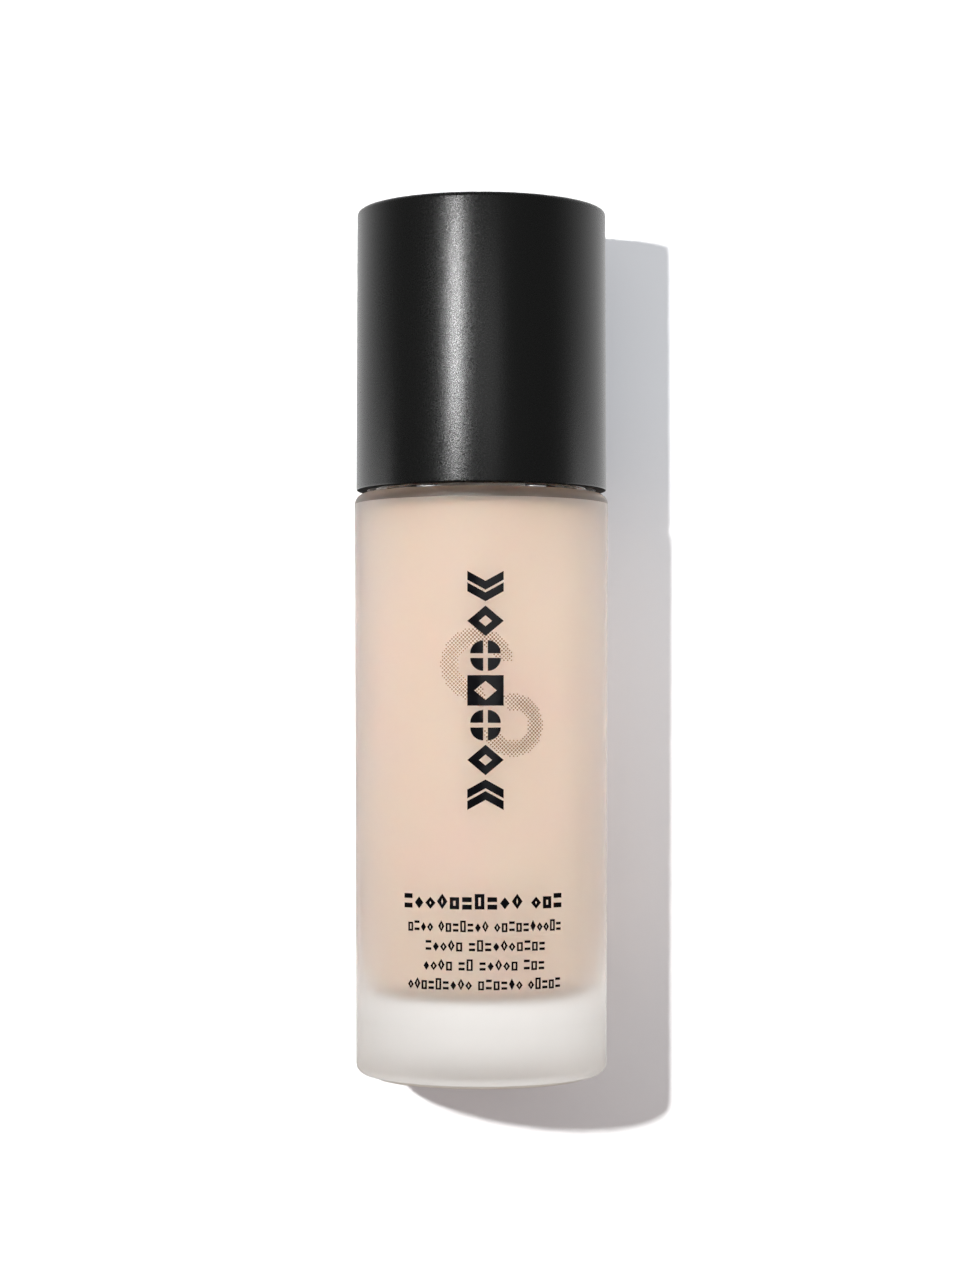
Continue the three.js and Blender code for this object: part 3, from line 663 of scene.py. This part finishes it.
satin = Finish("satin_black", IOR=1.5, Specular_IOR_Level=0.55)
sparkle = satin.noise(0.00015, 2)
haze = satin.noise(0.02, 2, (1, 1, 0.3))
satin.surface(
    Base_Color=satin.between(haze, (0.0032, 0.0034, 0.0032), (0.0052, 0.0052, 0.0052)),
    Roughness=0.2 + 0.05 * haze + 0.1 * sparkle,
    Normal=satin.bump(sparkle, 0.00002, 0.5),
)
bare = Finish("bare_hem", Specular_IOR_Level=0.1)
scuff = bare.noise(0.001, 2)
bare.surface(
    Base_Color=bare.between(scuff, (0.0025, 0.0025, 0.0025), (0.005, 0.0045, 0.004)),
    Roughness=0.75 + 0.15 * scuff,
)
seat(shell, satin.material, "satin_black", "overcap", "overcap_shell")
shell.data.materials.append(bare.material)
for face in shell.data.polygons:
    face.material_index = int(face.normal.z < -0.75 and face.center.z * 1000 < cap_low.z + HEM)


# Overcap liner: the plain moulded cup glued inside the shell, which slides over the pump's collar.

LINER_WALL = 0.9
LEAD_IN = 0.45

liner_low, liner_high = millimetres("overcap_liner")
liner_bore = liner_high.x - LINER_WALL
liner = turn("overcap_inner", [
    (0, liner_high.z),
    (liner_high.x, liner_high.z),
    (liner_high.x, liner_low.z),
    (liner_bore + LEAD_IN, liner_low.z),
    (liner_bore, liner_low.z + LEAD_IN),
    (liner_bore, liner_high.z - LINER_WALL),
    (0, liner_high.z - LINER_WALL),
])
soften(liner, liner_bore, liner_high.z - LINER_WALL, 0.6, 4)


def moulded(name, dark, light, rough, grain=0.0004, depth=0.00001, **constants):
    """Plain injection-moulded plastic: a faint flow mottle and a fine moulded grain."""
    plastic = Finish(name, **constants)
    flow = plastic.noise(0.009, 3)
    skin = plastic.noise(grain, 2)
    return plastic.surface(
        Base_Color=plastic.between(flow, dark, light),
        Roughness=rough + 0.08 * flow,
        Normal=plastic.bump(skin, depth, 0.5),
    )


dark_plastic = moulded("dark_plastic", (0.018, 0.018, 0.018), (0.03, 0.03, 0.03), 0.45)
seat(liner, dark_plastic, "dark_plastic", "overcap", "overcap_liner")


# Collar shroud: a gloss black ring pressed over the closure's ribs, with a well in its flat top that
# the pump's head dips into.

SHROUD_WALL = 1.0
WELL = 7.9
WELL_WALL = 0.8
CLOSURE_GAP = 0.05

shroud_low, shroud_high = millimetres("collar_shroud")
well_floor = millimetres("screw_closure")[1].z + CLOSURE_GAP
shroud = turn("collar_ring", [
    (shroud_high.x - SHROUD_WALL, shroud_low.z),
    (shroud_high.x, shroud_low.z),
    (shroud_high.x, shroud_high.z),
    (WELL, shroud_high.z),
    (WELL, well_floor),
    (WELL + WELL_WALL, well_floor),
    (WELL + WELL_WALL, shroud_high.z - SHROUD_WALL),
    (shroud_high.x - SHROUD_WALL, shroud_high.z - SHROUD_WALL),
])
soften(shroud, shroud_high.x, shroud_high.z, 0.5, 5)
soften(shroud, WELL, shroud_high.z, 0.2, 3)
soften(shroud, shroud_high.x, shroud_low.z, 0.15, 2)
gloss_black = moulded("gloss_black", (0.008, 0.008, 0.008), (0.014, 0.014, 0.015), 0.14,
                      0.0009, 0.000004, IOR=1.5)
seat(shroud, gloss_black, "gloss_black", "closure", "collar_shroud")


# Actuator shell: the moulded cover of the pump's head, with a dished top for the finger and a slot
# in its skirt that the nozzle comes out of.

HEAD_WALL = 0.9
HEAD_TOP = 1.2
DISH = 0.45
DISH_RADIUS = 4.5
DISH_STEPS = 5
NOZZLE_DROP = 2.3
NOZZLE_ROOT = 2.1
NOZZLE_TIP = 1.8

head_low, head_high = millimetres("actuator_shell")
core_low, core_high = millimetres("actuator_core")
nozzle_z = head_high.z - NOZZLE_DROP - NOZZLE_ROOT
reach = -core_low.y
shares = [step / DISH_STEPS for step in range(1, DISH_STEPS + 1)]
dish = [(DISH_RADIUS * share, head_high.z - DISH * math.cos(share * math.pi / 2)) for share in shares]
head = turn("actuator_cover", [
    (0, head_high.z - DISH),
    *dish,
    (head_high.x, head_high.z),
    (head_high.x, head_low.z),
    (head_high.x - HEAD_WALL, head_low.z),
    (head_high.x - HEAD_WALL, head_high.z - HEAD_TOP),
    (0, head_high.z - HEAD_TOP),
], 128)
soften(head, head_high.x, head_high.z, 0.8, 6)
soften(head, head_high.x, head_low.z, 0.15, 2)


def spout(radius_back, radius_front, back, front, sides=64):
    """A round bar along the nozzle's axis, pointing to the front."""
    bpy.ops.object.select_all(action="DESELECT")
    bpy.ops.mesh.primitive_cone_add(
        vertices=sides, radius1=radius_back, radius2=radius_front, depth=front - back,
        rotation=(math.pi / 2, 0, 0), location=(0, -(front + back) / 2, nozzle_z),
    )
    bar = bpy.context.object
    bpy.ops.object.transform_apply(location=True, rotation=True, scale=True)
    return bar


def block(low, high):
    """A box between two corners."""
    bpy.ops.object.select_all(action="DESELECT")
    bpy.ops.mesh.primitive_cube_add(size=1, location=[(a + b) / 2 for a, b in zip(low, high)])
    box = bpy.context.object
    box.scale = [b - a for a, b in zip(low, high)]
    bpy.ops.object.transform_apply(location=True, rotation=True, scale=True)
    return box


def combine(piece, other, operation):
    """Joins or cuts a piece with another, which is used up."""
    apply_modifier(piece, "BOOLEAN", operation=operation, solver="EXACT", object=other)
    bpy.data.objects.remove(other)


SLOT = NOZZLE_ROOT + 0.1
skirt = head_high.x - HEAD_WALL
combine(head, spout(SLOT, SLOT, skirt - 2, head_high.x + 1), "DIFFERENCE")
slot_below = block((-SLOT, -head_high.x - 1, head_low.z - 1), (SLOT, 2 - skirt, nozzle_z))
combine(head, slot_below, "DIFFERENCE")
seat(head, gloss_black, "gloss_black", "head", "actuator_shell")


# Actuator core: the moulding inside the head. It holds the stem, carries the cover on a disc, fills
# the cover's slot with a web, and runs out into the tapered nozzle.

STEM = 2.45
SOCKET_WALL = 2.4
SOCKET_FOOT = 1.6
STEM_BORE = 1.2
DISC = 0.9
FIT = 0.05
WEB_BACK = -4.3
CHANNEL = 0.8
INSERT_SEAT = (1.2, 2.25)  # radius and depth

stem_top = millimetres("upper_stem")[1].z
insert_low, insert_high = millimetres("nozzle_insert")
crown = core_high.z
core = turn("actuator_body", [
    (0, crown),
    (skirt - FIT, crown),
    (skirt - FIT, crown - DISC),
    (STEM + SOCKET_WALL, crown - DISC),
    (STEM + SOCKET_WALL, core_low.z + SOCKET_FOOT),
    (STEM, core_low.z + SOCKET_FOOT),
    (STEM, stem_top + FIT),
    (STEM_BORE, stem_top + FIT),
    (STEM_BORE, nozzle_z),
    (0, nozzle_z),
], 96)
web = block((-NOZZLE_ROOT, -head_high.x + 0.1, core_low.z), (NOZZLE_ROOT, WEB_BACK, nozzle_z))
combine(core, web, "UNION")


def soften_tip(bar, tip_y, amount, segments):
    """Rounds the edge round the front end of a bar."""
    pick(bar, lambda points: all(abs(point.y - tip_y) < 0.01 for point in points))
    bpy.ops.mesh.bevel(offset=amount, segments=segments, affect="EDGES")
    bpy.ops.object.mode_set(mode="OBJECT")


nozzle = spout(NOZZLE_ROOT, NOZZLE_TIP, 2, reach)
soften_tip(nozzle, -reach, 0.25, 4)
combine(core, nozzle, "UNION")
combine(core, spout(CHANNEL, CHANNEL, 0, reach + 1, 32), "DIFFERENCE")
seat_radius, seat_depth = INSERT_SEAT
combine(core, spout(seat_radius, seat_radius, reach - seat_depth, reach + 1, 48), "DIFFERENCE")
seat(core, gloss_black, "gloss_black", "head", "actuator_core")


# Nozzle insert: the small sleeve pressed into the nozzle's tip, whose narrow bore shapes the strand.

SLEEVE = 1.15
SLEEVE_BORE = 0.55

insert = spout(SLEEVE, SLEEVE, -insert_high.y, -insert_low.y, 48)
insert.name = insert.data.name = "nozzle_sleeve"
soften_tip(insert, insert_low.y, 0.12, 3)
combine(insert, spout(SLEEVE_BORE, SLEEVE_BORE, reach - 4, reach + 1, 32), "DIFFERENCE")
seat(insert, dark_plastic, "gloss_black", "head", "nozzle_insert")


# Return spring: bright stainless wire wound in open turns between the barrel's floor and the piston
# rod's foot. It closes up as the pump is pressed.

WIRE = 0.3
SPRING_TURNS = 5

spring_low, spring_high = millimetres("return_spring")
coil_height = spring_high.z - spring_low.z - 2 * WIRE
spring = wind("pump_spring", spring_high.x - WIRE, spring_low.z + WIRE, coil_height,
              SPRING_TURNS, WIRE, 10, 200)

steel = Finish("stainless_steel")
drawn = steel.noise(0.0008, 3, (1, 1, 6))
steel.surface(
    Base_Color=steel.between(drawn, (0.5, 0.51, 0.52), (0.68, 0.69, 0.7)),
    Metallic=0.9 + 0.1 * drawn,
    Roughness=0.18 + 0.16 * drawn,
)
seat(spring, steel.material, "steel", "pump", "return_spring")
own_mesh(spring)


# Pump works: the pieces that hang in the neck out of sight. White moulded housing, retainer, stem and
# rod; soft piston, wiper and gasket; a milky dip tube; a steel ball; the ribbed black closure.

white_plastic = moulded("white_plastic", (0.72, 0.72, 0.69), (0.8, 0.8, 0.78), 0.38)
soft_white = moulded("soft_white", (0.76, 0.755, 0.72), (0.83, 0.825, 0.8), 0.6, 0.0007)
milky = moulded("clear_plastic", (0.74, 0.77, 0.76), (0.84, 0.86, 0.85), 0.25, Transmission_Weight=0.3)
closure_black = moulded("closure_black", (0.012, 0.012, 0.012), (0.02, 0.02, 0.02), 0.35)
works = {
    "pump_housing": white_plastic,
    "housing_retainer": white_plastic,
    "upper_stem": white_plastic,
    "piston_rod": white_plastic,
    "piston": soft_white,
    "stem_wiper": soft_white,
    "lip_gasket": soft_white,
    "dip_tube": milky,
    "inlet_ball": steel.material,
    "screw_closure": closure_black,
}
for name, finish in works.items():
    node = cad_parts[name]
    node.data.materials.clear()
    node.data.materials.append(finish)


# Stage: a pale sheet that the bottle lies back against, which takes its shadow, and a pale floor that
# goes on behind. The sheet is clear from behind, throws no light back at the bottle, and lets the
# bright surround through to the thick glass of the base.

FLOOR_SIZE = 6.0
SHEET_GAP = 0.0003
# Painted shade: near the bottle the sheet glows least low down, which deepens its shadow below the
# base.
SHADE_LOW = (-0.012, (0.05, 0.025, 0.03))  # height and glow
SHADE_HIGH = (0.095, (0.2, 0.21, 0.235))
CLEAR_BELOW = (0.011, 0.016)  # fully clear, and not clear at all


def stage_plane(name, location, rotation, finish):
    bpy.ops.object.select_all(action="DESELECT")
    bpy.ops.mesh.primitive_plane_add(size=FLOOR_SIZE, location=location, rotation=rotation)
    plane = bpy.context.object
    plane.name = name
    bpy.ops.object.transform_apply(location=True, rotation=True, scale=True)
    plane.data.materials.append(finish)
    return plane


def pale_paper(name, centre, extent, shade=None):
    """Matt paper that glows a little near the bottle and more away from it, so that it stays white."""
    paper = Finish(name, Roughness=0.9, Specular_IOR_Level=0.0, Emission_Strength=1.0)
    mottle = paper.noise(0.4)
    placed = {"Vector": paper.place(), "Location": [-c / r for c, r in zip(centre, extent)],
              "Scale": [1 / r for r in extent]}
    offset = paper.node("ShaderNodeMapping", inputs=placed)
    away = paper.node("ShaderNodeVectorMath", {"operation": "LENGTH"}, {0: offset}, "Value")
    share = paper.node("ShaderNodeMapRange", {"interpolation_type": "SMOOTHSTEP"},
                       {"Value": away, "From Min": 1.0, "From Max": 1.8})
    # painted shade: the glow near the bottle drops towards the bottom
    upwards = paper.ramp(paper.height(), SHADE_LOW[0], SHADE_HIGH[0], 0.0, 1.0)
    near = shade or paper.between(upwards, SHADE_LOW[1], SHADE_HIGH[1])
    paper.surface(
        Base_Color=paper.between(mottle, (0.69, 0.69, 0.69), (0.71, 0.71, 0.71)),
        Emission_Color=paper.between(share, near, (1, 1, 1)),
    )
    return paper


sheet_place = body_radius / 1000 + SHEET_GAP
sheet_paint = pale_paper("stage_sheet", (0, 0, 0.055), (0.05, 1.0, 0.1))
behind = sheet_paint.node("ShaderNodeNewGeometry", output="Backfacing")
low_down = sheet_paint.ramp(sheet_paint.height(), *CLEAR_BELOW, 1.0, 0.0)
through_glass = sheet_paint.node("ShaderNodeLightPath", output="Is Transmission Ray")
passes = behind.maths("MAXIMUM", behind, low_down * through_glass)
see_through = sheet_paint.node("ShaderNodeBsdfTransparent")
front = Socket(sheet_paint, sheet_paint.shader.outputs[0])
one_way = sheet_paint.node("ShaderNodeMixShader", inputs={0: passes, 1: front, 2: see_through})
sheet_paint.feed(sheet_paint.tree.nodes["Material Output"].inputs["Surface"], one_way)
sheet = stage_plane("stage_sheet", (0, sheet_place, 0), (math.pi / 2, 0, 0), sheet_paint.material)
sheet.visible_diffuse = False
sheet.visible_glossy = False
sheet.visible_shadow = False

floor_paint = pale_paper("stage_floor", (0, 0, 0), (0.1, 0.1, 1.0), (0.65, 0.65, 0.65))
stage_plane("stage_floor", (0, sheet_place + FLOOR_SIZE / 2, 0), (0, 0, 0), floor_paint.material)


# Light: a bright, nearly hard key close by at the upper left, two lamps that only make gloss, soft
# fills that leave no reflection, and a surround that is white behind the bottle and dim in front.

KEY_PLACE = (-0.206, -0.48, 0.15)
KEY_SIZE = 0.009
KEY_POWER = 16.0
GLEAM_PLACE = (-0.206, -0.48, 0.152)
GLEAM_SIZE = (0.029, 0.2)
GLEAM_POWER = 1.6
GLOW_PLACE = (0.07, -0.6, 0.13)
GLOW_SIZE = 0.12
GLOW_POWER = 0.45
FILLS = {"fill_left": ((-0.9, -0.6, 0.1), 0.3), "fill_right": ((0.8, -0.7, 0.2), 1.95)}
FILL_SPREAD = math.radians(150)
WHITE = 1.05


def lamp(name, kind, power, place, **settings):
    """A lamp at a place, facing the bottle."""
    light = bpy.data.lights.new(name, kind)
    light.energy = power
    for setting, value in settings.items():
        setattr(light, setting, value)
    holder = bpy.data.objects.new(name, light)
    holder.location = place
    holder.rotation_euler = Vector(place).to_track_quat("Z", "Y").to_euler()
    bpy.context.scene.collection.objects.link(holder)
    return holder


key = lamp("key", "POINT", KEY_POWER, KEY_PLACE, shadow_soft_size=KEY_SIZE)
key.visible_glossy = False
key.visible_transmission = False
gleam = lamp("gleam", "AREA", GLEAM_POWER, GLEAM_PLACE,
             shape="RECTANGLE", size=GLEAM_SIZE[0], size_y=GLEAM_SIZE[1])
glow = lamp("glow", "POINT", GLOW_POWER, GLOW_PLACE, shadow_soft_size=GLOW_SIZE)
for strip in (gleam, glow):
    strip.visible_diffuse = False
    strip.visible_transmission = False
for name, (place, power) in FILLS.items():
    lamp(name, "SUN", power, place, angle=FILL_SPREAD).visible_glossy = False

world = bpy.data.worlds.new("surround")
bpy.context.scene.world = world
sky = Shading(world)
direction = sky.node("ShaderNodeTexCoord", output="Generated")
aside, depth, rise = [
    sky.node("ShaderNodeSeparateXYZ", inputs={"Vector": direction}, output=axis) for axis in "XYZ"]
soft = {"interpolation_type": "SMOOTHSTEP"}
open_back = sky.node("ShaderNodeMapRange", soft, {
    "Value": depth + 0.12 * aside, "From Min": -0.3, "From Max": 0.95, "To Min": 0.04, "To Max": WHITE})
open_top = sky.node("ShaderNodeMapRange", soft, {
    "Value": rise, "From Min": -0.6, "From Max": 0.0, "To Min": 0.08, "To Max": 1.0})
towards_back = open_back * open_top
seen = sky.node("ShaderNodeLightPath", output="Is Camera Ray")
backdrop = sky.tree.nodes["Background"]
backdrop.inputs["Color"].default_value = (1, 1, 1, 1)
sky.feed(backdrop.inputs["Strength"], towards_back + seen * (WHITE - towards_back))


# Camera: a long lens, level and square to the front, a little above the bottle's middle.

CAMERA_PLACE = (-0.00019, -0.386, 0.04957)
FOCAL_LENGTH = 80.36
LENS_SHIFT = 0.05346

lens = bpy.data.cameras.new("camera")
lens.lens = FOCAL_LENGTH
lens.sensor_width = 36
lens.shift_y = LENS_SHIFT
lens.clip_start = 0.01
lens.clip_end = 50
camera = bpy.data.objects.new("camera", lens)
camera.location = CAMERA_PLACE
camera.rotation_euler = (math.pi / 2, 0, 0)
bpy.context.scene.collection.objects.link(camera)
bpy.context.scene.camera = camera
bpy.context.scene.view_settings.view_transform = "Standard"
